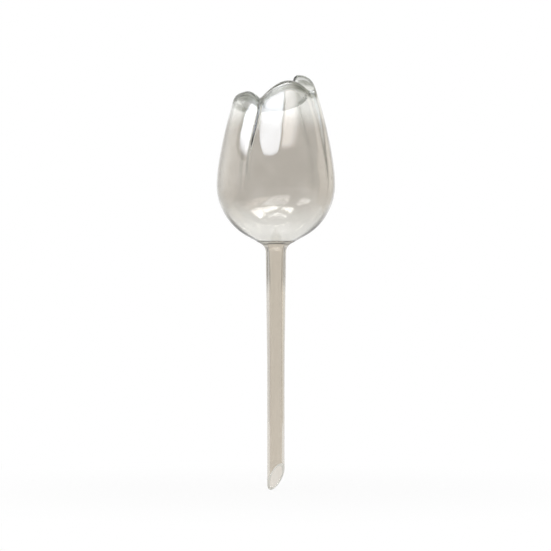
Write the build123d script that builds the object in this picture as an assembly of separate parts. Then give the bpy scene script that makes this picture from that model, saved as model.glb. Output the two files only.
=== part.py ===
"""A clear tulip-shaped watering globe: a blown bulb of whorled petals on a hollow stem with a slant-cut tip.

The globe is filled through the stem, turned over and pushed into potting soil.
Z runs up the stem's axis, and Z = 0 is the soil line, at the top of the stem's parallel shank.
A bearing of 0 degrees faces -Y, and 90 degrees faces +X. All lengths are in millimetres.
"""

from build123d import *
from math import asin, atan2, cos, pi, radians, sin, tan
import os

# Stem
SHANK_RADIUS = 5.5
SHANK_LENGTH = 80.3
SHANK_WALL = 1.55
STEM_RISE = 78.0
STEM_TOP_RADIUS = 6.4
STEM_TOP_WALL = 1.9
FLARE_RADIUS = 10.2
FLARE_BORE_RADIUS = 7.4
FLARE_HEIGHT = 5.9
TIP_CUT_HEIGHT = 18.2
TIP_CUT_BEARING = 38.0
TIP_EDGE_ROUND = 0.35

# Weld between the stem and the bulb
WELD_HEIGHT = 1.2
WELD_BULGE = 0.15
WELD_INNER_BULGE = 0.3

# Bulb
BULB_RADIUS = 37.65
BULB_WALL = 1.1
NECK_RADIUS = 12.4
NECK_BORE_RADIUS = 8.6
NECK_LIP = 0.8
NECK_SLOPE = 28.5
WAIST_LEAN = 2.8
SHOULDER_RADIUS = 110.0
SHOULDER_LEAN = 9.6
FLANK_RADIUS = 265.0
RIM_RADIUS = 3.4
CROWN_HEIGHT = 84.0
CROWN_SLOPE = 20.0
CROWN_FLAT_RADIUS = 1.5

# Petals, one entry for each, in order from the front by the right and the back to the left.
# A notch lies at its petal's own proud edge. Heights are above the weld.
PETAL_EDGE_BEARINGS = {"front": -29.0, "right": 61.0, "back": 139.0, "left": 218.0}
PETAL_TIP_HEIGHTS = {"front": 101.7, "right": 106.7, "back": 94.0, "left": 95.2}
PETAL_TIP_PHASES = {"front": 0.56, "right": 0.735, "back": 0.64, "left": 0.72}
PETAL_NOTCH_HEIGHTS = {"front": 89.0, "right": 95.8, "back": 94.5, "left": 88.8}
PETAL_RISE_FULLNESS = {"front": 2.4, "right": 2.2, "back": 2.2, "left": 1.5}
PETAL_EDGE_WIDTHS = {"front": 6.3, "right": 6.3, "back": 24.0, "left": 11.0}
FALL_FULLNESS = 1.7
EDGE_STEP = 3.0
LINING_EDGE_WIDENING = 4.5
LINING_EDGE_SHIFT = 1.8
LINING_RIM_REACH = 2.6
RIM_THICKENING = 1.2
EDGE_LEAN = 6.0
EDGE_START = 0.45

# Fineness of the bulb's lofted sections
POINTS_PER_TURN = 64
POINT_CROWDING = 0.85
BOWL_SECTIONS = 11
FLANK_SECTIONS = 11
RIM_SECTIONS = 4
CROWN_SECTIONS = 9
FLANK_GRADING = 1.6
CROWN_GRADING = 1.5

# Worked out from the sizes above
PETAL_COUNT = len(PETAL_TIP_HEIGHTS)
EDGES = list(PETAL_EDGE_BEARINGS.values())
SPANS = [(EDGES[(k + 1) % PETAL_COUNT] - EDGES[k]) % 360.0 for k in range(PETAL_COUNT)]
TIP_HEIGHTS = list(PETAL_TIP_HEIGHTS.values())
TIP_PHASES = list(PETAL_TIP_PHASES.values())
NOTCH_HEIGHTS = list(PETAL_NOTCH_HEIGHTS.values())
RISE_FULLNESS = list(PETAL_RISE_FULLNESS.values())
EDGE_WIDTHS = list(PETAL_EDGE_WIDTHS.values())
FLARE_TOP = STEM_RISE - WELD_HEIGHT / 2
LAND = STEM_RISE + WELD_HEIGHT / 2
SLOPE = radians(NECK_SLOPE)
CONE_LENGTH = (BULB_RADIUS * sin(SLOPE) - NECK_RADIUS) / cos(SLOPE)
WAIST = radians(WAIST_LEAN)
SHOULDER = radians(SHOULDER_LEAN)
SHOULDER_START = CONE_LENGTH + BULB_RADIUS * (pi / 2 + WAIST - SLOPE)
BOWL_LENGTH = SHOULDER_START + SHOULDER_RADIUS * (SHOULDER - WAIST)
WIDEST = LAND + CONE_LENGTH * sin(SLOPE) + BULB_RADIUS * cos(SLOPE)
SHOULDER_MIDDLE = Vector(0, WIDEST) + Vector(cos(WAIST), sin(WAIST)) * (BULB_RADIUS - SHOULDER_RADIUS)
FLANK_MIDDLE = SHOULDER_MIDDLE + Vector(cos(SHOULDER), sin(SHOULDER)) * (SHOULDER_RADIUS - FLANK_RADIUS)
CROWN = STEM_RISE + CROWN_HEIGHT
RIM_END = pi - radians(CROWN_SLOPE)


def ease(share):
    """0 to 1 with a gentle start and end."""
    share = min(1.0, max(0.0, share))
    return share * share * (3 - 2 * share)


def petal_at(bearing):
    """The petal on a bearing, and how far round it: 0 at its own proud edge, 1 at the next petal's."""
    past = (bearing - EDGES[0]) % 360.0
    petal = 0
    while petal < PETAL_COUNT - 1 and past >= SPANS[petal]:
        past -= SPANS[petal]
        petal += 1
    return petal, past / SPANS[petal]


def whorl(bearing, widening):
    """Smooth sawtooth: highest just past a petal's proud edge, lowest where the next petal laps over it.

    Its fall takes the width of the edge nearby, and the widening on top.
    """
    petal, phase = petal_at(bearing)
    own = EDGE_WIDTHS[petal]
    following = EDGE_WIDTHS[(petal + 1) % PETAL_COUNT]
    sharpness = 1 - (own + (following - own) * ease(phase) + widening) / SPANS[petal]
    turn = 2 * pi * phase
    return atan2(sharpness * sin(turn), 1 - sharpness * cos(turn)) / (2 * asin(sharpness))


def rim_height(bearing):
    """Height of the petals' rim above the weld: arches over the petals, with notches where they meet."""
    petal, phase = petal_at(bearing)
    if phase < TIP_PHASES[petal]:
        notch = NOTCH_HEIGHTS[petal]
        rise = 1 - (1 - phase / TIP_PHASES[petal]) ** RISE_FULLNESS[petal]
    else:
        notch = NOTCH_HEIGHTS[(petal + 1) % PETAL_COUNT]
        rise = 1 - ((phase - TIP_PHASES[petal]) / (1 - TIP_PHASES[petal])) ** FALL_FULLNESS
    return notch + (TIP_HEIGHTS[petal] - notch) * rise


def lining_rim_height(bearing):
    """The lowest rim within one wall's reach to either side, less the rim's extra wall.

    The reach keeps the wall of a steep rim.
    """
    nearby = (bearing - LINING_RIM_REACH, bearing, bearing + LINING_RIM_REACH)
    return min(rim_height(turned) for turned in nearby) - RIM_THICKENING


def edge_step(stage):
    """How far one petal stands proud of the next at its edge, which grows from the bowl up to the rim."""
    return EDGE_STEP * ease((stage - EDGE_START) / (2 - EDGE_START))


def bowl(stage, inset):
    """Radius and height up the bowl: a cone at the neck, a ball to its widest height, then a shoulder."""
    length = BOWL_LENGTH * stage
    if length < CONE_LENGTH:
        radius = NECK_RADIUS + length * cos(SLOPE) - inset * sin(SLOPE)
        return radius, LAND + length * sin(SLOPE) + inset * cos(SLOPE)
    if length < SHOULDER_START:
        angle = SLOPE + (length - CONE_LENGTH) / BULB_RADIUS
        return (BULB_RADIUS - inset) * sin(angle), WIDEST - (BULB_RADIUS - inset) * cos(angle)
    angle = WAIST + (length - SHOULDER_START) / SHOULDER_RADIUS
    radius = SHOULDER_MIDDLE.X + (SHOULDER_RADIUS - inset) * cos(angle)
    return radius, SHOULDER_MIDDLE.Y + (SHOULDER_RADIUS - inset) * sin(angle)


def crown(start, stage, middle):
    """Radius, height and petal step from the inside of the rim down to the crown's level middle."""
    fall = (start[1] - middle) / 2
    lead = (start[0] - fall * sin(radians(CROWN_SLOPE)), start[1] - fall)
    curve = (start, lead, (start[0] / 2, middle), (0.0, middle))
    rest = 1 - stage
    weights = (rest**3, 3 * rest**2 * stage, 3 * rest * stage**2, stage**3)
    radius, height = (sum(w * point[k] for w, point in zip(weights, curve)) for k in (0, 1))
    return radius, height, EDGE_STEP * radius / start[0]


def meridian(bearing, stage, inset):
    """Radius, height and petal step of the bulb on one bearing, at a depth of inset below its outer skin.

    Stage runs 0 to 1 up the bowl, 1 to 2 up the flank, 2 to 3 over the rim and 3 to 4 down the crown.
    """
    if stage <= 1:
        return *bowl(stage, inset), edge_step(stage)
    rim_top = rim_height(bearing) if inset == 0 else lining_rim_height(bearing)
    rim_middle = STEM_RISE + rim_top - RIM_RADIUS
    lean = asin((rim_middle - FLANK_MIDDLE.Y) / (FLANK_RADIUS - RIM_RADIUS))
    if stage <= 2:
        angle = SHOULDER + (lean - SHOULDER) * (stage - 1)
        radius = FLANK_MIDDLE.X + (FLANK_RADIUS - inset) * cos(angle)
        return radius, FLANK_MIDDLE.Y + (FLANK_RADIUS - inset) * sin(angle), edge_step(stage)
    rim_radius = FLANK_MIDDLE.X + (FLANK_RADIUS - RIM_RADIUS) * cos(lean)
    angle = lean + (RIM_END - lean) * min(stage - 2, 1.0)
    over = (rim_radius + (RIM_RADIUS - inset) * cos(angle), rim_middle + (RIM_RADIUS - inset) * sin(angle))
    if stage <= 3:
        return *over, EDGE_STEP
    return crown(over, stage - 3, CROWN - inset)


def on_bearing(bearing, stage, radius, height):
    """A point in space from its radius and height. Petal edges lean over as they rise."""
    turned = radians(bearing + EDGE_LEAN * ease(stage - 1))
    return Vector(radius * sin(turned), -radius * cos(turned), height)


def skin(bearing, stage):
    """A point of the bulb's outer skin."""
    radius, height, step = meridian(bearing, stage, 0.0)
    return on_bearing(bearing, stage, radius + step * whorl(bearing, 0.0), height)


def lining(bearing, stage):
    """A point of the bulb's inner skin, where the petals' edges are rounder and lie one wall further round.

    On the crown's side of the rim the wall is outside the skin, so the edges lie one wall the other way.
    """
    radius, height, step = meridian(bearing, stage, BULB_WALL)
    shift = LINING_EDGE_SHIFT * (1 - 2 * ease(stage - 2))
    radius += step * whorl(bearing - shift, LINING_EDGE_WIDENING)
    return on_bearing(bearing, stage, radius, height)


def section_bearings():
    """Bearings round one section, crowded together at the petals' edges."""
    bearings = []
    for petal in range(PETAL_COUNT):
        start = EDGES[0] + sum(SPANS[:petal])
        count = round(POINTS_PER_TURN * SPANS[petal] / 360.0)
        turns = [2 * pi * k / count for k in range(count)]
        bearings += [start + SPANS[petal] * (turn - POINT_CROWDING * sin(turn)) / (2 * pi) for turn in turns]
    return bearings


def section_stages():
    """Stages of the lofted sections above the neck, closer together near the rim."""
    stages = [(k + 1) / BOWL_SECTIONS for k in range(BOWL_SECTIONS)]
    stages += [2 - (1 - (k + 1) / FLANK_SECTIONS) ** FLANK_GRADING for k in range(FLANK_SECTIONS)]
    stages += [2 + (k + 1) / RIM_SECTIONS for k in range(RIM_SECTIONS)]
    stages += [3 + ((k + 1) / CROWN_SECTIONS) ** CROWN_GRADING for k in range(CROWN_SECTIONS - 1)]
    return stages


def section(points):
    """A closed smooth section through points that lie on the shared bearings."""
    bearings = section_bearings()
    return Wire([Edge.make_spline(points, periodic=True, parameters=bearings + [bearings[0] + 360.0])])


def round_section(radius, height):
    """A circle at the neck or round the crown's middle, drawn through the shared bearings."""
    turns = [radians(bearing) for bearing in section_bearings()]
    return section([Vector(radius * sin(turn), -radius * cos(turn), height) for turn in turns])


def skin_sections(surface):
    """The sections of one skin from the bowl up over the rim to the last ring round the crown's middle."""
    bearings = section_bearings()
    return [section([surface(bearing, stage) for bearing in bearings]) for stage in section_stages()]


def make_tulip_bulb():
    """The blown shell: whorled petals in relief, hollow up into their rims, closed by a dished crown.

    Both skins end in a small level disc at the crown's middle.
    """
    land = round_section(NECK_RADIUS, LAND)
    outside = [land] + skin_sections(skin) + [round_section(CROWN_FLAT_RADIUS, CROWN)]
    lip_radius = NECK_RADIUS - (BULB_WALL / cos(SLOPE) - NECK_LIP) / tan(SLOPE)
    lip = round_section(lip_radius, LAND + NECK_LIP)
    inside = [lip] + skin_sections(lining) + [round_section(CROWN_FLAT_RADIUS, CROWN - BULB_WALL)]
    neck_hole = Pos(0, 0, LAND) * Cylinder(NECK_BORE_RADIUS, 3 * NECK_LIP)
    return Solid.make_loft(outside) - Solid.make_loft(inside) - neck_hole


def make_neck_weld_bead():
    """The ring of melted plastic between bulb and stem, which swells a little inside and out."""
    outer_top = (NECK_RADIUS, LAND)
    outer_foot = (FLARE_RADIUS, FLARE_TOP)
    inner_top = (NECK_BORE_RADIUS, LAND)
    inner_foot = (FLARE_BORE_RADIUS, FLARE_TOP)
    outer_middle = ((NECK_RADIUS + FLARE_RADIUS) / 2 + WELD_BULGE, STEM_RISE)
    inner_middle = ((NECK_BORE_RADIUS + FLARE_BORE_RADIUS) / 2 - WELD_INNER_BULGE, STEM_RISE)
    with BuildPart() as bead:
        with BuildSketch(Plane.XZ):
            with BuildLine():
                ThreePointArc(outer_foot, outer_middle, outer_top)
                Line(outer_top, inner_top)
                ThreePointArc(inner_top, inner_middle, inner_foot)
                Line(inner_foot, outer_foot)
            make_face()
        revolve(axis=Axis.Z)
    return bead.part.solid()


def flare_points(top_radius, tube_radius):
    """Control points of the curve from the flared mouth down into the straight tube."""
    tube_height = FLARE_TOP - FLARE_HEIGHT
    run = 0.68 * (top_radius - tube_radius)
    lead = (top_radius - run, FLARE_TOP - run * tan(SLOPE))
    follow = (tube_radius + 0.1, FLARE_TOP - 0.5 * FLARE_HEIGHT)
    return [(top_radius, FLARE_TOP), lead, follow, (tube_radius, tube_height)]


def make_stem_tube():
    """The hollow stem: a flared mouth under the weld, a long taper, a parallel shank and a slant-cut tip."""
    top_bore = STEM_TOP_RADIUS - STEM_TOP_WALL
    shank_bore = SHANK_RADIUS - SHANK_WALL
    outer_flare = flare_points(FLARE_RADIUS, STEM_TOP_RADIUS)
    inner_flare = flare_points(FLARE_BORE_RADIUS, top_bore)
    with BuildPart() as tube:
        with BuildSketch(Plane.XZ):
            with BuildLine():
                Bezier(*outer_flare)
                Polyline(outer_flare[-1], (SHANK_RADIUS, 0), (SHANK_RADIUS, -SHANK_LENGTH))
                Line((SHANK_RADIUS, -SHANK_LENGTH), (shank_bore, -SHANK_LENGTH))
                Polyline((shank_bore, -SHANK_LENGTH), (shank_bore, 0), inner_flare[-1])
                Bezier(*reversed(inner_flare))
                Line(inner_flare[0], outer_flare[0])
            make_face()
        revolve(axis=Axis.Z)
    turn = radians(TIP_CUT_BEARING)
    facing = Vector(sin(turn), -cos(turn), 0)
    lowest = facing * -SHANK_RADIUS + Vector(0, 0, -SHANK_LENGTH)
    across = facing * (2 * SHANK_RADIUS) + Vector(0, 0, TIP_CUT_HEIGHT)
    level = Vector(-facing.Y, facing.X, 0)
    slant = Plane(origin=lowest, x_dir=level, z_dir=across.cross(level))
    if slant.z_dir.Z < 0:
        slant = -slant
    cut = split(tube.part, slant, keep=Keep.TOP).solid()
    slant_edges = [edge for edge in cut.edges() if abs(slant.to_local_coords(edge @ 0.3).Z) < 1e-4]
    return cut.fillet(TIP_EDGE_ROUND, slant_edges)


def main():
    os.makedirs("parts", exist_ok=True)
    pieces = {
        "tulip_bulb": make_tulip_bulb(),
        "neck_weld_bead": make_neck_weld_bead(),
        "stem_tube": make_stem_tube(),
    }
    for name, piece in pieces.items():
        export_step(piece, f"parts/{name}.step")


main()
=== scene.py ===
from math import acos, asin, atan2, cos, hypot, pi, radians, sin, tan

import bpy
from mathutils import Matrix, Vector


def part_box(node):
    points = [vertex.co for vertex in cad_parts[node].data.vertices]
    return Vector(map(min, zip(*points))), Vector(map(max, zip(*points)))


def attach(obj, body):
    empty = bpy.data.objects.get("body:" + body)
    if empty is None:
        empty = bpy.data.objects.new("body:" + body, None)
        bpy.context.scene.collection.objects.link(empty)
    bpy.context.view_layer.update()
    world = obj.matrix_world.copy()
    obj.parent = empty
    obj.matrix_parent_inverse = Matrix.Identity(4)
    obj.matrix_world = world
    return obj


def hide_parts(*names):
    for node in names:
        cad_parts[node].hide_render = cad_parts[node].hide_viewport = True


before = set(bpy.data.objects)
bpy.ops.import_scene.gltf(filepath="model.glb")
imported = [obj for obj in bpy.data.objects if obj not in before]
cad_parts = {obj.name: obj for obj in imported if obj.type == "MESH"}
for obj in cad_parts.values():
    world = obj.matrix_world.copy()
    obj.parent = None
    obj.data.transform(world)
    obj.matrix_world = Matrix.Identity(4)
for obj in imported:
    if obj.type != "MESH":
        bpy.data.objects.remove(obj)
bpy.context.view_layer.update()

# A clear tulip-shaped watering globe: a blown bulb of whorled petals, a ring of weld and a hollow stem.
# Lengths are in millimetres until a mesh is made. A bearing of 0 degrees faces -Y, and 90 faces +X.
MM = 0.001

# Stem. Its flare keeps the neck's slope over a share of its width, and turns down by a share of its height.
SHANK_RADIUS = 5.5
SHANK_LENGTH = 80.3
SHANK_WALL = 1.55
STEM_RISE = 78.0
STEM_TOP_RADIUS = 6.4
STEM_TOP_WALL = 1.9
FLARE_RADIUS = 10.2
FLARE_BORE_RADIUS = 7.4
FLARE_HEIGHT = 5.9
FLARE_SLOPE_SHARE = 0.68
FLARE_TURN_SHARE = 0.5
FLARE_TURN_SPREAD = 0.1
TIP_CUT_HEIGHT = 18.2
TIP_CUT_BEARING = 38.0
TIP_EDGE_ROUND = 0.35

# Weld
WELD_HEIGHT = 1.2
WELD_BULGE = 0.15
WELD_INNER_BULGE = 0.3
FUSED_DEPTH = 0.03

# Bulb
BULB_RADIUS = 37.65
BULB_WALL = 1.1
NECK_RADIUS = 12.4
NECK_BORE_RADIUS = 8.6
NECK_LIP = 0.8
NECK_SLOPE = radians(28.5)
WAIST_LEAN = radians(2.8)
SHOULDER_RADIUS = 110.0
SHOULDER_LEAN = radians(9.6)
FLANK_RADIUS = 265.0
RIM_RADIUS = 3.4
CROWN_HEIGHT = 84.0
CROWN_SLOPE = radians(20.0)

# Petals, in order from the front by the right and the back to the left. Heights are above the weld's middle.
PETAL_EDGE_BEARINGS = (-29.0, 61.0, 139.0, 218.0)
PETAL_TIP_HEIGHTS = (101.7, 106.7, 94.0, 95.2)
PETAL_TIP_PHASES = (0.56, 0.735, 0.64, 0.72)
PETAL_NOTCH_HEIGHTS = (89.0, 95.8, 94.5, 88.8)
RISE_FULLNESS = (2.4, 2.2, 2.2, 1.5)
FALL_FULLNESS = 1.7
EDGE_WIDTHS = (6.3, 6.3, 24.0, 11.0)
EDGE_STEP = 3.0
EDGE_LEAN = 6.0
LINING_EDGE_WIDENING = 4.5
LINING_EDGE_SHIFT = 1.8
LINING_RIM_REACH = 2.6
RIM_THICKENING = 1.2

# Stages of the bulb run 0 to 1 up the bowl, 1 to 2 up the flank, 2 to 3 over the rim and 3 to 4 to the middle
# of the crown. Petal edges, laps, the rim's thick fold and the crown's haze start and end at these.
EDGE_START = 0.45
LAP_START = 0.6
FOLD_START = 1.89
FOLD_WHOLE_FROM = 1.94
FOLD_WHOLE_TO = 2.1
FOLD_END = 2.3
HAZE_START = 2.6
HAZE_FULL = 3.2

# A lap's plastic, as a share of the fold's thickness, and its reach as a share of the edge's width
LAP_THICKNESS = 0.8
LAP_REACH = 0.4

# Fineness of the meshes. The rows of the flank and the crown crowd together towards the rim.
POINTS_PER_TURN = 288
POINT_CROWDING = 0.75
BOWL_ROWS = 48
FLANK_ROWS = 44
FLANK_CROWDING = 1.4
RIM_ROWS = 20
CROWN_ROWS = 30
CROWN_CROWDING = 1.3
STEM_SEGMENTS = 128
TAPER_ROWS = 24
SHANK_ROWS = 20
FLARE_ROWS = 14
ROUND_ROWS = 8
BEAD_ROWS = 8
SHARP_ANGLE = radians(24.0)
WINDOW_COLUMNS = 32
WINDOW_ROWS = 4

# Camera
PHOTO_SIDE_PX = 551
MM_PER_PX = 0.635
CAMERA_DISTANCE = 2000.0
CAMERA_HEIGHT = 56.9
CAMERA_SIDE = -0.25
SENSOR_WIDTH = 36.0

# Floor and room. The floor's own white is a share that grows outward, so the shadow shows near the tip only.
FLOOR_HALF_WIDTH = 1500.0
FLOOR_NEAR_WHITE = 0.86
FLOOR_NEAR_REACH = 60.0
FLOOR_WHITE_REACH = 320.0
ROOM_LIGHT = 0.9
ROOM_WHITE = 0.8
BACKDROP_WHITE_ANGLE = radians(8.0)
BACKDROP_FADE_ANGLE = radians(30.0)
CLEAR_BOUNCES = 24
GLOSSY_BOUNCES = 16

# Softboxes, screens and cards round the globe, at these reaches. They show only in and through the plastic.
# Windows and upper panes make its bright patches, screens lighten its sides, and cards darken its outline.
# Each row of an outline is an elevation, a left bearing and a right bearing in degrees, from the lowest up.
WINDOW_REACH = 1100.0
SCREEN_REACH = 420.0
CARD_REACH = 90.0
FAR_WINDOW = ((21.5, -84, -68), (24, -91, -60), (29, -86, -55), (35, -69, -53), (39, -58, -51))
MAIN_WINDOW = (
    (19.5, -22, -17),
    (21, -28, -2),
    (22.5, -31, 9),
    (26, -33, 15),
    (35, -29, 30),
    (37.5, -27, 35),
    (42.2, 9, 42),
)
SIDE_WINDOW = ((22.5, 12, 30), (24, 14, 55), (30, 24, 80), (35, 34, 96), (41.5, 45, 112))
LEFT_UPPER_PANE = ((42, -54, -17), (66, -52, -16))
RIGHT_UPPER_PANE = ((42, -12, 84), (66, -13, 78))
LEFT_SCREEN = ((-24, -146, -60), (19, -146, -60), (22, -146, -93), (42, -146, -93))
RIGHT_SCREEN = ((-24, 90, 146), (16, 90, 146), (24, 118, 146), (42, 118, 146))
LEFT_CARD = ((-50, -163, -125), (-36, -160, -120), (-18, -154, -115))
RIGHT_CARD = ((-50, 125, 163), (-36, 120, 160), (-18, 115, 154))
PANE_FADES = (0.15, 0.15, 0.2, 0.2)
CARD_FADES = (0.25, 0.25, 0.3, 0.5)

# Name, colour, strength, reach, outline, and the fades of the left, the right, the foot and the head
STAGE_WINDOWS = (
    ("far_window", "#F0F5FF", 10.0, WINDOW_REACH, FAR_WINDOW, (0.12, 0.08, 0.2, 0.1)),
    ("main_window", "#EEF4FF", 8.5, WINDOW_REACH, MAIN_WINDOW, (0.05, 0.03, 0.06, 0.12)),
    ("side_window", "#FFFBFA", 5.4, WINDOW_REACH, SIDE_WINDOW, (0.05, 0.65, 0.15, 0.15)),
    ("upper_pane", "#FBFBFF", 21.0, WINDOW_REACH, LEFT_UPPER_PANE, PANE_FADES),
    ("upper_pane", "#FBFBFF", 21.0, WINDOW_REACH, RIGHT_UPPER_PANE, PANE_FADES),
    ("left_screen", "#FFFFFF", 1.8, SCREEN_REACH, LEFT_SCREEN, (0.35, 0.08, 0.5, 0.1)),
    ("right_screen", "#FFFAF2", 1.6, SCREEN_REACH, RIGHT_SCREEN, (0.1, 0.35, 0.5, 0.1)),
    ("left_card", "#FFFFFF", 0.25, CARD_REACH, LEFT_CARD, CARD_FADES),
    ("right_card", "#FFFFFF", 0.35, CARD_REACH, RIGHT_CARD, CARD_FADES),
)

# Worked out from the sizes above
PETAL_COUNT = len(PETAL_EDGE_BEARINGS)
NEXT_EDGE_BEARINGS = PETAL_EDGE_BEARINGS[1:] + PETAL_EDGE_BEARINGS[:1]
SPANS = [(after - own) % 360.0 for own, after in zip(PETAL_EDGE_BEARINGS, NEXT_EDGE_BEARINGS)]
STEM_BEARINGS = [360.0 * k / STEM_SEGMENTS for k in range(STEM_SEGMENTS)]
FLARE_TOP = STEM_RISE - WELD_HEIGHT / 2
LAND = STEM_RISE + WELD_HEIGHT / 2
CROWN = STEM_RISE + CROWN_HEIGHT
CONE_LENGTH = (BULB_RADIUS * sin(NECK_SLOPE) - NECK_RADIUS) / cos(NECK_SLOPE)
SHOULDER_START = CONE_LENGTH + BULB_RADIUS * (pi / 2 + WAIST_LEAN - NECK_SLOPE)
BOWL_LENGTH = SHOULDER_START + SHOULDER_RADIUS * (SHOULDER_LEAN - WAIST_LEAN)
WIDEST = LAND + CONE_LENGTH * sin(NECK_SLOPE) + BULB_RADIUS * cos(NECK_SLOPE)
SHOULDER_MIDDLE_RADIUS = (BULB_RADIUS - SHOULDER_RADIUS) * cos(WAIST_LEAN)
SHOULDER_MIDDLE_HEIGHT = WIDEST + (BULB_RADIUS - SHOULDER_RADIUS) * sin(WAIST_LEAN)
FLANK_MIDDLE_RADIUS = SHOULDER_MIDDLE_RADIUS + (SHOULDER_RADIUS - FLANK_RADIUS) * cos(SHOULDER_LEAN)
FLANK_MIDDLE_HEIGHT = SHOULDER_MIDDLE_HEIGHT + (SHOULDER_RADIUS - FLANK_RADIUS) * sin(SHOULDER_LEAN)
RIM_END = pi - CROWN_SLOPE


def ease(share):
    """0 to 1 with a gentle start and end."""
    share = min(1.0, max(0.0, share))
    return share * share * (3 - 2 * share)


def steps(count):
    """Shares from just above 0 up to 1."""
    return [(k + 1) / count for k in range(count)]


def petal_at(bearing):
    """The petal on a bearing, and how far round it: 0 at its own proud edge, 1 at the next petal's."""
    past = (bearing - PETAL_EDGE_BEARINGS[0]) % 360.0
    petal = 0
    while petal < PETAL_COUNT - 1 and past >= SPANS[petal]:
        past -= SPANS[petal]
        petal += 1
    return petal, past / SPANS[petal]


def whorl(bearing, widening):
    """Smooth sawtooth: highest just past a petal's proud edge, lowest where the next petal laps over it.

    Its fall takes the width of the edge nearby, and the widening on top.
    """
    petal, phase = petal_at(bearing)
    own = EDGE_WIDTHS[petal]
    following = EDGE_WIDTHS[(petal + 1) % PETAL_COUNT]
    sharpness = 1 - (own + (following - own) * ease(phase) + widening) / SPANS[petal]
    turn = 2 * pi * phase
    return atan2(sharpness * sin(turn), 1 - sharpness * cos(turn)) / (2 * asin(sharpness))


def rim_height(bearing):
    """Height of the petals' rim above the weld: arches over the petals, with notches where they meet."""
    petal, phase = petal_at(bearing)
    tip = PETAL_TIP_PHASES[petal]
    if phase < tip:
        notch = PETAL_NOTCH_HEIGHTS[petal]
        rise = 1 - (1 - phase / tip) ** RISE_FULLNESS[petal]
    else:
        notch = PETAL_NOTCH_HEIGHTS[(petal + 1) % PETAL_COUNT]
        rise = 1 - ((phase - tip) / (1 - tip)) ** FALL_FULLNESS
    return notch + (PETAL_TIP_HEIGHTS[petal] - notch) * rise


def lining_rim_height(bearing):
    """The lowest rim within one wall's reach to either side, less the rim's extra wall.

    The reach keeps the wall of a steep rim.
    """
    nearby = (bearing - LINING_RIM_REACH, bearing, bearing + LINING_RIM_REACH)
    return min(rim_height(turned) for turned in nearby) - RIM_THICKENING


def edge_step(stage):
    """How far one petal stands proud of the next at its edge, which grows from the bowl up to the rim."""
    return EDGE_STEP * ease((stage - EDGE_START) / (2 - EDGE_START))


def bowl(stage, inset):
    """Radius and height up the bowl: a cone at the neck, a ball to its widest height, then a shoulder."""
    length = BOWL_LENGTH * stage
    if length < CONE_LENGTH:
        radius = NECK_RADIUS + length * cos(NECK_SLOPE) - inset * sin(NECK_SLOPE)
        return radius, LAND + length * sin(NECK_SLOPE) + inset * cos(NECK_SLOPE)
    if length < SHOULDER_START:
        angle = NECK_SLOPE + (length - CONE_LENGTH) / BULB_RADIUS
        return (BULB_RADIUS - inset) * sin(angle), WIDEST - (BULB_RADIUS - inset) * cos(angle)
    angle = WAIST_LEAN + (length - SHOULDER_START) / SHOULDER_RADIUS
    radius = SHOULDER_MIDDLE_RADIUS + (SHOULDER_RADIUS - inset) * cos(angle)
    return radius, SHOULDER_MIDDLE_HEIGHT + (SHOULDER_RADIUS - inset) * sin(angle)


def bezier(points, share):
    """A point on a cubic curve in the plane of a meridian."""
    rest = 1 - share
    weights = (rest**3, 3 * rest**2 * share, 3 * rest * share**2, share**3)
    return tuple(sum(w * point[k] for w, point in zip(weights, points)) for k in (0, 1))


def crown(start, stage, middle):
    """Radius, height and petal step from the inside of the rim down to the crown's level middle."""
    fall = (start[1] - middle) / 2
    lead = (start[0] - fall * sin(CROWN_SLOPE), start[1] - fall)
    radius, height = bezier((start, lead, (start[0] / 2, middle), (0.0, middle)), stage)
    return radius, height, EDGE_STEP * radius / start[0]


def meridian(bearing, stage, inset):
    """Radius, height and petal step of the bulb on one bearing, at a depth of inset below its outer skin."""
    if stage <= 1:
        return *bowl(stage, inset), edge_step(stage)
    rim_top = rim_height(bearing) if inset == 0 else lining_rim_height(bearing)
    rim_middle = STEM_RISE + rim_top - RIM_RADIUS
    lean = asin((rim_middle - FLANK_MIDDLE_HEIGHT) / (FLANK_RADIUS - RIM_RADIUS))
    if stage <= 2:
        angle = SHOULDER_LEAN + (lean - SHOULDER_LEAN) * (stage - 1)
        radius = FLANK_MIDDLE_RADIUS + (FLANK_RADIUS - inset) * cos(angle)
        return radius, FLANK_MIDDLE_HEIGHT + (FLANK_RADIUS - inset) * sin(angle), edge_step(stage)
    rim_radius = FLANK_MIDDLE_RADIUS + (FLANK_RADIUS - RIM_RADIUS) * cos(lean)
    angle = lean + (RIM_END - lean) * min(stage - 2, 1.0)
    over = (rim_radius + (RIM_RADIUS - inset) * cos(angle), rim_middle + (RIM_RADIUS - inset) * sin(angle))
    if stage <= 3:
        return *over, EDGE_STEP
    return crown(over, stage - 3, CROWN - inset)


def in_space(bearing, radius, height):
    """A point of a mesh, in metres, from its bearing, radius and height."""
    turned = radians(bearing)
    return Vector((radius * sin(turned), -radius * cos(turned), height)) * MM


def skin(bearing, stage):
    """A point of the bulb's outer skin. Petal edges lean over as they rise."""
    radius, height, step = meridian(bearing, stage, 0.0)
    radius += step * whorl(bearing, 0.0)
    return in_space(bearing + EDGE_LEAN * ease(stage - 1), radius, height)


def lining(bearing, stage):
    """A point of the bulb's inner skin, where petal edges are rounder and lie one wall further round."""
    radius, height, step = meridian(bearing, stage, BULB_WALL)
    shift = LINING_EDGE_SHIFT * (1 - 2 * ease(stage - 2))
    radius += step * whorl(bearing - shift, LINING_EDGE_WIDENING)
    return in_space(bearing + EDGE_LEAN * ease(stage - 1), radius, height)


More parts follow.
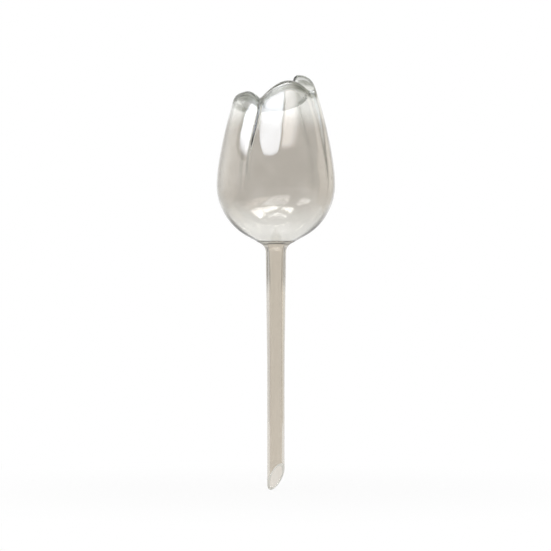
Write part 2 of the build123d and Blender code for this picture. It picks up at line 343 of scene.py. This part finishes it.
def petal_bearings():
    """Bearings round the bulb, crowded together at the petals' edges."""
    bearings = []
    for petal in range(PETAL_COUNT):
        start = PETAL_EDGE_BEARINGS[0] + sum(SPANS[:petal])
        count = round(POINTS_PER_TURN * SPANS[petal] / 360.0)
        turns = [2 * pi * k / count for k in range(count)]
        bearings += [start + SPANS[petal] * (turn - POINT_CROWDING * sin(turn)) / (2 * pi) for turn in turns]
    return bearings


def in_scene(name, data):
    """A new object for a mesh or a camera, linked into the scene."""
    made = bpy.data.objects.new(name, data)
    bpy.context.scene.collection.objects.link(made)
    return made


def mesh_of_rings(name, rings, finish_shares, first_pole=None, last_pole=None):
    """A closed skin over rings of points. It ends in poles where they are given, or else joins end to end.

    Each named share runs from 0 to 1 over the points of the rings, and the finish changes by it.
    """
    count = len(rings[0])
    points = [point for ring in rings for point in ring]
    faces = []
    pairs = list(zip(range(len(rings)), range(1, len(rings))))
    if first_pole is None:
        pairs.append((len(rings) - 1, 0))
    for low, high in pairs:
        for k in range(count):
            after = (k + 1) % count
            faces.append((low * count + k, high * count + k, high * count + after, low * count + after))
    if first_pole is not None:
        points += [first_pole, last_pole]
        last = (len(rings) - 1) * count
        for k in range(count):
            after = (k + 1) % count
            faces.append((len(points) - 2, k, after))
            faces.append((len(points) - 1, last + after, last + k))
    mesh = bpy.data.meshes.new(name)
    mesh.from_pydata(points, [], faces)
    mesh.polygons.foreach_set("use_smooth", [True] * len(mesh.polygons))
    mesh.set_sharp_from_angle(angle=SHARP_ANGLE)
    for share_name, ring_shares in finish_shares.items():
        values = [share for ring in ring_shares for share in ring]
        if first_pole is not None:
            values += [ring_shares[0][0], ring_shares[-1][0]]
        mesh.attributes.new(share_name, "FLOAT", "POINT").data.foreach_set("value", values)
    return in_scene(name, mesh)


def thick_share(bearing, stage):
    """How thick the plastic is, from 0 to 1: most in the rim's fold, and less where one petal laps the next.

    A lap is measured from the nearest edge, in the span and the edge width of that edge's own petal.
    """
    petal, phase = petal_at(bearing)
    if phase > 0.5:
        petal = (petal + 1) % PETAL_COUNT
        phase = 1 - phase
    width = EDGE_WIDTHS[petal]
    across = ease(1 - phase * SPANS[petal] / (LAP_REACH * width))
    lap = LAP_THICKNESS * across * EDGE_WIDTHS[0] / width * ease((stage - LAP_START) / (1 - LAP_START))
    fold = ease((stage - FOLD_START) / (FOLD_WHOLE_FROM - FOLD_START))
    return max(lap, fold) * ease((FOLD_END - stage) / (FOLD_END - FOLD_WHOLE_TO))


def make_bulb():
    """The blown shell as one skin: from the crown's middle out, down to the neck, and back up the inside.

    Thick plastic is marked on the outer skin alone, and haze on both skins.
    """
    bearings = petal_bearings()
    stages = [3 + share**CROWN_CROWDING for share in steps(CROWN_ROWS)[:-1]][::-1]
    stages += [2 + share for share in steps(RIM_ROWS)][::-1]
    stages += [2 - (1 - share) ** FLANK_CROWDING for share in steps(FLANK_ROWS)][::-1]
    stages += steps(BOWL_ROWS)[::-1]
    rings = [[skin(bearing, stage) for bearing in bearings] for stage in stages]
    lip_radius = NECK_RADIUS - (BULB_WALL / cos(NECK_SLOPE) - NECK_LIP) / tan(NECK_SLOPE)
    neck = (
        (NECK_RADIUS, LAND),
        (NECK_BORE_RADIUS, LAND),
        (NECK_BORE_RADIUS, LAND + NECK_LIP),
        (lip_radius, LAND + NECK_LIP),
    )
    rings += [[in_space(bearing, radius, height) for bearing in bearings] for radius, height in neck]
    rings += [[lining(bearing, stage) for bearing in bearings] for stage in stages[::-1]]
    none = [0.0] * len(bearings)
    thick = [[thick_share(bearing, stage) for bearing in bearings] for stage in stages]
    thick += [none] * (len(rings) - len(thick))
    hazy = [[ease((stage - HAZE_START) / (HAZE_FULL - HAZE_START))] * len(bearings) for stage in stages]
    hazy += [none] * len(neck) + hazy[::-1]
    shares = {"thick_share": thick, "haze_share": hazy}
    outer_pole = in_space(0, 0, CROWN)
    inner_pole = in_space(0, 0, CROWN - BULB_WALL)
    return mesh_of_rings("blown_bulb", rings, shares, outer_pole, inner_pole)


def arc_through(start, middle, end, count):
    """Points on a shallow bulge from start to end by middle."""
    lift = [2 * m - (s + e) / 2 for s, m, e in zip(start, middle, end)]
    points = []
    for share in [0.0] + steps(count):
        weights = ((1 - share) ** 2, 2 * share * (1 - share), share * share)
        points.append(tuple(sum(w * p[k] for w, p in zip(weights, (start, lift, end))) for k in (0, 1)))
    return points


def make_bead():
    """The ring of weld, swollen a little inside and out. It is fused a hair deep into both its neighbours."""
    top = LAND + FUSED_DEPTH
    foot = FLARE_TOP - FUSED_DEPTH
    run = FUSED_DEPTH / tan(NECK_SLOPE)
    outer_middle = ((NECK_RADIUS + FLARE_RADIUS) / 2 + WELD_BULGE, STEM_RISE)
    inner_middle = ((NECK_BORE_RADIUS + FLARE_BORE_RADIUS) / 2 - WELD_INNER_BULGE, STEM_RISE)
    loop = arc_through((FLARE_RADIUS - run, foot), outer_middle, (NECK_RADIUS + run, top), BEAD_ROWS)
    loop += arc_through((NECK_BORE_RADIUS, top), inner_middle, (FLARE_BORE_RADIUS - run, foot), BEAD_ROWS)
    rings = [[in_space(b, radius, height) for b in STEM_BEARINGS] for radius, height in loop[::-1]]
    return mesh_of_rings("weld_ring", rings, {})


def flare(top_radius, tube_radius):
    """Points on the curve from the flared mouth down into the straight tube."""
    run = FLARE_SLOPE_SHARE * (top_radius - tube_radius)
    lead = (top_radius - run, FLARE_TOP - run * tan(NECK_SLOPE))
    follow = (tube_radius + FLARE_TURN_SPREAD, FLARE_TOP - FLARE_TURN_SHARE * FLARE_HEIGHT)
    curve = ((top_radius, FLARE_TOP), lead, follow, (tube_radius, FLARE_TOP - FLARE_HEIGHT))
    return [bezier(curve, share) for share in [0.0] + steps(FLARE_ROWS)]


def taper(top_radius, shank_radius):
    """Points down the long taper, from under the flare to the top of the shank at height 0."""
    top = FLARE_TOP - FLARE_HEIGHT
    return [(top_radius + (shank_radius - top_radius) * s, top * (1 - s)) for s in steps(TAPER_ROWS)]


def rounded_edge(edge, first, second):
    """A round between two directions that leave an edge, as points from the first direction to the second."""
    between = acos(max(-1.0, min(1.0, first[0] * second[0] + first[1] * second[1])))
    reach = TIP_EDGE_ROUND / tan(between / 2)
    start = (edge[0] + reach * first[0], edge[1] + reach * first[1])
    end = (edge[0] + reach * second[0], edge[1] + reach * second[1])
    corners = (start, edge, end)
    points = []
    for share in [0.0] + steps(ROUND_ROWS):
        weights = ((1 - share) ** 2, 2 * sin(between / 2) * share * (1 - share), share**2)
        whole = sum(weights)
        points.append(tuple(sum(w * p[k] for w, p in zip(weights, corners)) / whole for k in (0, 1)))
    return points


def stem_outline(bearing):
    """The stem's section on one bearing: down the outside, round the slant-cut end and up the bore."""
    shank_bore = SHANK_RADIUS - SHANK_WALL
    top_bore = STEM_TOP_RADIUS - STEM_TOP_WALL
    fall = TIP_CUT_HEIGHT / (2 * SHANK_RADIUS) * cos(radians(bearing - TIP_CUT_BEARING))
    middle = -SHANK_LENGTH + TIP_CUT_HEIGHT / 2
    outer_edge = (SHANK_RADIUS, middle + fall * SHANK_RADIUS)
    inner_edge = (shank_bore, middle + fall * shank_bore)
    slant = hypot(1.0, fall)
    outer_round = rounded_edge(outer_edge, (0.0, 1.0), (-1 / slant, -fall / slant))
    inner_round = rounded_edge(inner_edge, (1 / slant, fall / slant), (0.0, 1.0))
    outside = flare(FLARE_RADIUS, STEM_TOP_RADIUS) + taper(STEM_TOP_RADIUS, SHANK_RADIUS)
    outside += [(SHANK_RADIUS, outer_round[0][1] * s) for s in steps(SHANK_ROWS)[:-1]]
    inside = flare(FLARE_BORE_RADIUS, top_bore) + taper(top_bore, shank_bore)
    inside += [(shank_bore, inner_round[-1][1] * s) for s in steps(SHANK_ROWS)[:-1]]
    return outside + outer_round + inner_round + inside[::-1]


def make_stem():
    """The drawn tube: a flared mouth under the weld, a long taper, a parallel shank and a slant-cut tip."""
    outlines = [stem_outline(bearing) for bearing in STEM_BEARINGS]
    rings = []
    for row in range(len(outlines[0])):
        rings.append([in_space(b, *outline[row]) for b, outline in zip(STEM_BEARINGS, outlines)])
    cut_rows = 2 * ROUND_ROWS
    wall_rows = (len(rings) - cut_rows) // 2
    ring_shares = [0.0] * wall_rows + [1.0] * cut_rows + [0.0] * wall_rows
    shares = {"cut_share": [[share] * STEM_SEGMENTS for share in ring_shares]}
    return mesh_of_rings("drawn_stem", rings, shares)


def linear(hex_colour):
    """An sRGB hex colour as linear red, green, blue and alpha."""
    channels = [int(hex_colour[k : k + 2], 16) / 255 for k in (1, 3, 5)]
    return tuple(c / 12.92 if c <= 0.04045 else ((c + 0.055) / 1.055) ** 2.4 for c in channels) + (1.0,)


def node(tree, kind, settings=None, values=None, links=None):
    """A new node with its settings, its socket values and the outputs that feed its sockets."""
    new = tree.nodes.new(kind)
    for name, value in (settings or {}).items():
        setattr(new, name, value)
    for name, value in (values or {}).items():
        new.inputs[name].default_value = value
    for name, source in (links or {}).items():
        tree.links.new(source, new.inputs[name])
    return new


def new_material(name):
    """An empty node material and its tree."""
    material = bpy.data.materials.new(name)
    material.use_nodes = True
    material.node_tree.nodes.clear()
    return material, material.node_tree


# Clear PVC, blown, drawn or melted: smooth and glossy, with an IOR of 1.53 and a faint smoky tint.
# Its skin is tinted a little, and its depth has a trace of grey green, which darkens rims and laps.
PVC_IOR = 1.53
PVC_DEPTH = linear("#8F9A83")
PVC_DENSITY = 30.0

# Patterns of the blown bulb: slow waves in its wall, and small bubbles far apart
BLOWN_WAVE_LENGTH = 14.0
BUBBLE_SPACING = 16.0
BUBBLE_RADIUS = 0.96

# Drawn lines, die lines and weld ripples are a few tenths of a millimetre apart on real plastic. A pixel of
# the render is 0.6 mm wide, so they are drawn as coarse as this. The lines are stretched along the height.
DRAWN_LINE_SPACING = 2.5
DRAWN_LINE_STRETCH = 0.06
DIE_LINE_SPACING = 1.2
DIE_LINE_STRETCH = 0.02
WELD_RIPPLE_LENGTH = 1.5

# Heights above the soil line over which the smoke gathers above the neck, and thins out again below the rim.
# Under the smoke, the neck and lower bowl stay clear as a painted glow of light from below.
SMOKE_FOOT = 83.0
SMOKE_WHOLE_FROM = 111.0
SMOKE_WHOLE_TO = 148.0
SMOKE_HEAD = 164.0
SMOKE_IN_PAINTED_GLOW = 0.3
RIM_SMOKE = 0.1


def clear_pvc(tree, tint, gloss, bumps, clearness=None):
    """Ends a finish in clear PVC, which is see-through all over unless its clearness varies."""
    links = {"Base Color": tint, "Roughness": gloss, "Normal": bumps}
    if clearness is not None:
        links["Transmission Weight"] = clearness
    plastic = node(
        tree, "ShaderNodeBsdfPrincipled", values={"IOR": PVC_IOR, "Transmission Weight": 1.0}, links=links
    )
    depth = node(tree, "ShaderNodeVolumeAbsorption", values={"Color": PVC_DEPTH, "Density": PVC_DENSITY})
    ends = {"Surface": plastic.outputs["BSDF"], "Volume": depth.outputs["Volume"]}
    node(tree, "ShaderNodeOutputMaterial", links=ends)


def blown_pvc():
    """Blown PVC: smoky round the belly, clearer at the neck and rim, and thick and green in the rim's fold.

    The clearer neck and lower bowl are painted light, a painted glow of light from below. The crown was
    pinched shut hot, which leaves it hazy. Slow waves, faint drawn lines and a few bubbles come from the
    blowing.
    """
    material, tree = new_material("blown_clear_pvc")
    place = node(tree, "ShaderNodeTexCoord").outputs["Object"]
    waves = node(
        tree,
        "ShaderNodeTexNoise",
        values={"Scale": 1 / (BLOWN_WAVE_LENGTH * MM), "Detail": 1.0, "Roughness": 0.4},
        links={"Vector": place},
    ).outputs["Fac"]
    up = node(tree, "ShaderNodeSeparateXYZ", links={"Vector": place}).outputs["Z"]
    # Painted light: below the smoke, the neck and lower bowl clear to a painted glow of light from below.
    above_painted_glow = node(
        tree,
        "ShaderNodeMapRange",
        settings={"interpolation_type": "SMOOTHSTEP"},
        values={"From Min": SMOKE_FOOT * MM, "From Max": SMOKE_WHOLE_FROM * MM, "To Min": SMOKE_IN_PAINTED_GLOW},
        links={"Value": up},
    ).outputs["Result"]
    below_rim = node(
        tree,
        "ShaderNodeMapRange",
        settings={"interpolation_type": "SMOOTHSTEP"},
        values={"From Min": SMOKE_HEAD * MM, "From Max": SMOKE_WHOLE_TO * MM, "To Min": RIM_SMOKE},
        links={"Value": up},
    ).outputs["Result"]
    belly = node(
        tree, "ShaderNodeMath", settings={"operation": "MULTIPLY"}, links={0: above_painted_glow, 1: below_rim}
    ).outputs["Value"]
    patches = node(
        tree,
        "ShaderNodeMapRange",
        values={"From Min": 0.3, "From Max": 0.7, "To Min": 0.88, "To Max": 1.08},
        links={"Value": waves},
    ).outputs["Result"]
    smoke = node(
        tree, "ShaderNodeMath", settings={"operation": "MULTIPLY"}, links={0: belly, 1: patches}
    ).outputs["Value"]
    walls = node(
        tree,
        "ShaderNodeMix",
        settings={"data_type": "RGBA"},
        values={"A": linear("#FBFBF9"), "B": linear("#D7D3CD")},
        links={"Factor": smoke},
    ).outputs["Result"]
    fold = node(tree, "ShaderNodeAttribute", settings={"attribute_name": "thick_share"}).outputs["Fac"]
    tint = node(
        tree,
        "ShaderNodeMix",
        settings={"data_type": "RGBA"},
        values={"B": linear("#7E8073")},
        links={"Factor": fold, "A": walls},
    ).outputs["Result"]
    stretched = node(
        tree, "ShaderNodeMapping", values={"Scale": (1.0, 1.0, DRAWN_LINE_STRETCH)}, links={"Vector": place}
    ).outputs["Vector"]
    lines = node(
        tree,
        "ShaderNodeTexNoise",
        values={"Scale": 1 / (DRAWN_LINE_SPACING * MM), "Detail": 2.0},
        links={"Vector": stretched},
    ).outputs["Fac"]
    cells = node(
        tree, "ShaderNodeTexVoronoi", values={"Scale": 1 / (BUBBLE_SPACING * MM)}, links={"Vector": place}
    ).outputs["Distance"]
    bubbles = node(
        tree,
        "ShaderNodeMapRange",
        settings={"interpolation_type": "SMOOTHSTEP"},
        values={"From Min": BUBBLE_RADIUS / BUBBLE_SPACING, "From Max": 0.0},
        links={"Value": cells},
    ).outputs["Result"]
    wave_bump = node(
        tree, "ShaderNodeBump", values={"Strength": 0.3, "Distance": 0.3 * MM}, links={"Height": waves}
    ).outputs["Normal"]
    line_bump = node(
        tree,
        "ShaderNodeBump",
        values={"Strength": 0.1, "Distance": 0.05 * MM},
        links={"Height": lines, "Normal": wave_bump},
    ).outputs["Normal"]
    bubble_bump = node(
        tree,
        "ShaderNodeBump",
        values={"Strength": 0.5, "Distance": 0.25 * MM},
        links={"Height": bubbles, "Normal": line_bump},
    ).outputs["Normal"]
    wall_gloss = node(
        tree, "ShaderNodeMapRange", values={"To Min": 0.02, "To Max": 0.06}, links={"Value": waves}
    ).outputs["Result"]
    fold_gloss = node(
        tree,
        "ShaderNodeMix",
        settings={"data_type": "FLOAT"},
        values={"B": 0.2},
        links={"Factor": fold, "A": wall_gloss},
    ).outputs["Result"]
    haze = node(tree, "ShaderNodeAttribute", settings={"attribute_name": "haze_share"}).outputs["Fac"]
    gloss = node(
        tree,
        "ShaderNodeMix",
        settings={"data_type": "FLOAT"},
        values={"B": 0.3},
        links={"Factor": haze, "A": fold_gloss},
    ).outputs["Result"]
    clearness = node(
        tree, "ShaderNodeMapRange", values={"To Min": 1.0, "To Max": 0.82}, links={"Value": fold}
    ).outputs["Result"]
    clear_pvc(tree, tint, gloss, bubble_bump, clearness)
    return material


def drawn_pvc():
    """Drawn PVC tube: a warmer smoke, straight die lines along its length, and a paler, matt slant cut."""
    material, tree = new_material("drawn_clear_pvc")
    place = node(tree, "ShaderNodeTexCoord").outputs["Object"]
    cut = node(tree, "ShaderNodeAttribute", settings={"attribute_name": "cut_share"}).outputs["Fac"]
    stretched = node(
        tree, "ShaderNodeMapping", values={"Scale": (1.0, 1.0, DIE_LINE_STRETCH)}, links={"Vector": place}
    ).outputs["Vector"]
    lines = node(
        tree,
        "ShaderNodeTexNoise",
        values={"Scale": 1 / (DIE_LINE_SPACING * MM), "Detail": 2.0},
        links={"Vector": stretched},
    ).outputs["Fac"]
    line_bump = node(
        tree, "ShaderNodeBump", values={"Strength": 0.2, "Distance": 0.06 * MM}, links={"Height": lines}
    ).outputs["Normal"]
    wall_gloss = node(
        tree, "ShaderNodeMapRange", values={"To Min": 0.03, "To Max": 0.09}, links={"Value": lines}
    ).outputs["Result"]
    gloss = node(
        tree,
        "ShaderNodeMix",
        settings={"data_type": "FLOAT"},
        values={"B": 0.4},
        links={"Factor": cut, "A": wall_gloss},
    ).outputs["Result"]
    walls = node(
        tree,
        "ShaderNodeMix",
        settings={"data_type": "RGBA"},
        values={"A": linear("#DFD9D0"), "B": linear("#E8E2DA")},
        links={"Factor": lines},
    ).outputs["Result"]
    tint = node(
        tree,
        "ShaderNodeMix",
        settings={"data_type": "RGBA"},
        values={"B": linear("#ECEAE2")},
        links={"Factor": cut, "A": walls},
    ).outputs["Result"]
    clearness = node(
        tree, "ShaderNodeMapRange", values={"To Min": 1.0, "To Max": 0.15}, links={"Value": cut}
    ).outputs["Result"]
    clear_pvc(tree, tint, gloss, line_bump, clearness)
    return material


def melted_pvc():
    """Melted and set PVC: paler than the walls, with small ripples from the weld."""
    material, tree = new_material("melted_clear_pvc")
    place = node(tree, "ShaderNodeTexCoord").outputs["Object"]
    ripples = node(
        tree,
        "ShaderNodeTexNoise",
        values={"Scale": 1 / (WELD_RIPPLE_LENGTH * MM), "Detail": 2.0},
        links={"Vector": place},
    ).outputs["Fac"]
    bump = node(
        tree, "ShaderNodeBump", values={"Strength": 0.4, "Distance": 0.15 * MM}, links={"Height": ripples}
    ).outputs["Normal"]
    gloss = node(
        tree, "ShaderNodeMapRange", values={"To Min": 0.05, "To Max": 0.15}, links={"Value": ripples}
    ).outputs["Result"]
    tint = node(
        tree,
        "ShaderNodeMix",
        settings={"data_type": "RGBA"},
        values={"A": linear("#F1EFE9"), "B": linear("#F8F7F3")},
        links={"Factor": ripples},
    ).outputs["Result"]
    clear_pvc(tree, tint, gloss, bump)
    return material


def dress(piece, material, cad_node):
    """Gives a piece its finish, and puts it in the place of its CAD node."""
    piece.data.materials.append(material)
    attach(piece, "root")
    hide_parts(cad_node)


def seeing_rays(tree):
    """Whether a ray is straight from the camera, and whether it is that or one by way of clear plastic."""
    path = node(tree, "ShaderNodeLightPath")
    straight = path.outputs["Is Camera Ray"]
    by_plastic = node(
        tree,
        "ShaderNodeMath",
        settings={"operation": "MAXIMUM"},
        links={0: path.outputs["Is Glossy Ray"], 1: path.outputs["Is Transmission Ray"]},
    ).outputs["Value"]
    either = node(
        tree, "ShaderNodeMath", settings={"operation": "MAXIMUM"}, links={0: straight, 1: by_plastic}
    ).outputs["Value"]
    return straight, either


def make_floor():
    """A white floor just under the tip. Most of its white is its own, so the globe's shadow stays faint."""
    floor_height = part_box("stem_tube")[0].z
    half = FLOOR_HALF_WIDTH * MM
    mesh = bpy.data.meshes.new("floor")
    corners = [(x * half, y * half, floor_height) for x, y in ((-1, -1), (1, -1), (1, 1), (-1, 1))]
    mesh.from_pydata(corners, [], [(0, 1, 2, 3)])
    floor = in_scene("floor", mesh)
    material, tree = new_material("white_paper")
    _, seen = seeing_rays(tree)
    place = node(tree, "ShaderNodeTexCoord").outputs["Object"]
    away = node(
        tree, "ShaderNodeVectorMath", settings={"operation": "LENGTH"}, links={0: place}
    ).outputs["Value"]
    own_white = node(
        tree,
        "ShaderNodeMapRange",
        settings={"interpolation_type": "SMOOTHSTEP"},
        values={
            "From Min": FLOOR_NEAR_REACH * MM,
            "From Max": FLOOR_WHITE_REACH * MM,
            "To Min": FLOOR_NEAR_WHITE,
        },
        links={"Value": away},
    ).outputs["Result"]
    share = node(
        tree, "ShaderNodeMath", settings={"operation": "MULTIPLY"}, links={0: seen, 1: own_white}
    ).outputs["Value"]
    paper = node(tree, "ShaderNodeBsdfDiffuse", values={"Color": linear("#F4F4F4")}).outputs["BSDF"]
    white = node(
        tree, "ShaderNodeEmission", values={"Color": linear("#FFFFFF"), "Strength": 1.0}
    ).outputs["Emission"]
    mixed = node(tree, "ShaderNodeMixShader", links={0: share, 1: paper, 2: white}).outputs["Shader"]
    node(tree, "ShaderNodeOutputMaterial", links={"Surface": mixed})
    mesh.materials.append(material)


def make_world():
    """White to the camera. In the plastic it is white straight behind the globe, and a little less all round.

    Everything else gets its plain light.
    """
    world = bpy.data.worlds.new("studio")
    bpy.context.scene.world = world
    world.use_nodes = True
    tree = world.node_tree
    tree.nodes.clear()
    straight, seen = seeing_rays(tree)
    place = node(tree, "ShaderNodeTexCoord").outputs["Generated"]
    behind = node(
        tree,
        "ShaderNodeVectorMath",
        settings={"operation": "DOT_PRODUCT"},
        values={1: (0.0, 1.0, 0.0)},
        links={0: place},
    ).outputs["Value"]
    room = node(
        tree,
        "ShaderNodeMapRange",
        settings={"interpolation_type": "SMOOTHSTEP"},
        values={
            "From Min": cos(BACKDROP_FADE_ANGLE),
            "From Max": cos(BACKDROP_WHITE_ANGLE),
            "To Min": ROOM_WHITE,
        },
        links={"Value": behind},
    ).outputs["Result"]
    shown = node(
        tree, "ShaderNodeMath", settings={"operation": "MAXIMUM"}, links={0: straight, 1: room}
    ).outputs["Value"]
    level = node(
        tree,
        "ShaderNodeMix",
        settings={"data_type": "FLOAT"},
        values={"A": ROOM_LIGHT},
        links={"Factor": seen, "B": shown},
    ).outputs["Result"]
    sky = node(
        tree, "ShaderNodeBackground", values={"Color": linear("#FFFFFF")}, links={"Strength": level}
    ).outputs["Background"]
    node(tree, "ShaderNodeOutputWorld", links={"Surface": sky})


def make_window(name, colour, strength, reach, outline, fades):
    """A curved softbox, screen or card round the globe, at a reach from the middle of the bulb.

    Fades are the shares of its width over which its left and right sides fade to the room's white, and the
    shares of its height over which its foot and head do. A strength below the room's white makes a grey card.
    """
    middle = STEM_RISE + BULB_RADIUS
    lowest = outline[0][0]
    highest = outline[-1][0]
    levels = [outline[0]]
    for low, high in zip(outline, outline[1:]):
        levels += [tuple(a + (b - a) * share for a, b in zip(low, high)) for share in steps(WINDOW_ROWS)]
    points = []
    shares = []
    for elevation, left_side, right_side in levels:
        up = radians(elevation)
        for i in range(WINDOW_COLUMNS + 1):
            share = i / WINDOW_COLUMNS
            bearing = left_side + (right_side - left_side) * share
            points.append(in_space(bearing, reach * cos(up), middle + reach * sin(up)))
            shares.append((share, (elevation - lowest) / (highest - lowest)))
    width = WINDOW_COLUMNS + 1
    starts = [j * width + i for j in range(len(levels) - 1) for i in range(WINDOW_COLUMNS)]
    mesh = bpy.data.meshes.new(name)
    mesh.from_pydata(points, [], [(k, k + 1, k + width + 1, k + width) for k in starts])
    spread = mesh.uv_layers.new(name="spread")
    for loop in mesh.loops:
        spread.data[loop.index].uv = shares[loop.vertex_index]
    window = in_scene(name, mesh)
    material, tree = new_material(name)
    place = node(tree, "ShaderNodeTexCoord").outputs["UV"]
    across = node(tree, "ShaderNodeSeparateXYZ", links={"Vector": place})
    left, right, foot, head = fades
    lit = None
    for axis, edge, full in (("X", 0.0, left), ("X", 1.0, 1 - right), ("Y", 0.0, foot), ("Y", 1.0, 1 - head)):
        inside = node(
            tree,
            "ShaderNodeMapRange",
            settings={"interpolation_type": "SMOOTHSTEP"},
            values={"From Min": edge, "From Max": full},
            links={"Value": across.outputs[axis]},
        ).outputs["Result"]
        if lit is None:
            lit = inside
        else:
            lit = node(
                tree, "ShaderNodeMath", settings={"operation": "MULTIPLY"}, links={0: lit, 1: inside}
            ).outputs["Value"]
    level = node(
        tree, "ShaderNodeMapRange", values={"To Min": ROOM_WHITE, "To Max": strength}, links={"Value": lit}
    ).outputs["Result"]
    glow = node(
        tree, "ShaderNodeEmission", values={"Color": linear(colour)}, links={"Strength": level}
    ).outputs["Emission"]
    node(tree, "ShaderNodeOutputMaterial", links={"Surface": glow})
    mesh.materials.append(material)
    window.visible_camera = False
    window.visible_diffuse = False
    window.visible_shadow = False


def make_camera():
    """A long lens at the photograph's height and framing."""
    lens = bpy.data.cameras.new("camera")
    lens.sensor_width = SENSOR_WIDTH
    lens.lens = SENSOR_WIDTH * CAMERA_DISTANCE / (PHOTO_SIDE_PX * MM_PER_PX)
    camera = in_scene("camera", lens)
    camera.location = Vector((CAMERA_SIDE, -CAMERA_DISTANCE, CAMERA_HEIGHT)) * MM
    camera.rotation_euler = (pi / 2, 0.0, 0.0)
    bpy.context.scene.camera = camera


make_camera()
make_world()
make_floor()
for stage_window in STAGE_WINDOWS:
    make_window(*stage_window)
dress(make_bulb(), blown_pvc(), "tulip_bulb")
dress(make_bead(), melted_pvc(), "neck_weld_bead")
dress(make_stem(), drawn_pvc(), "stem_tube")

# Light passes many walls of clear plastic, so it may bounce more often than usual.
scene = bpy.context.scene
scene.view_settings.view_transform = "Standard"
scene.cycles.max_bounces = CLEAR_BOUNCES
scene.cycles.transmission_bounces = CLEAR_BOUNCES
scene.cycles.glossy_bounces = GLOSSY_BOUNCES
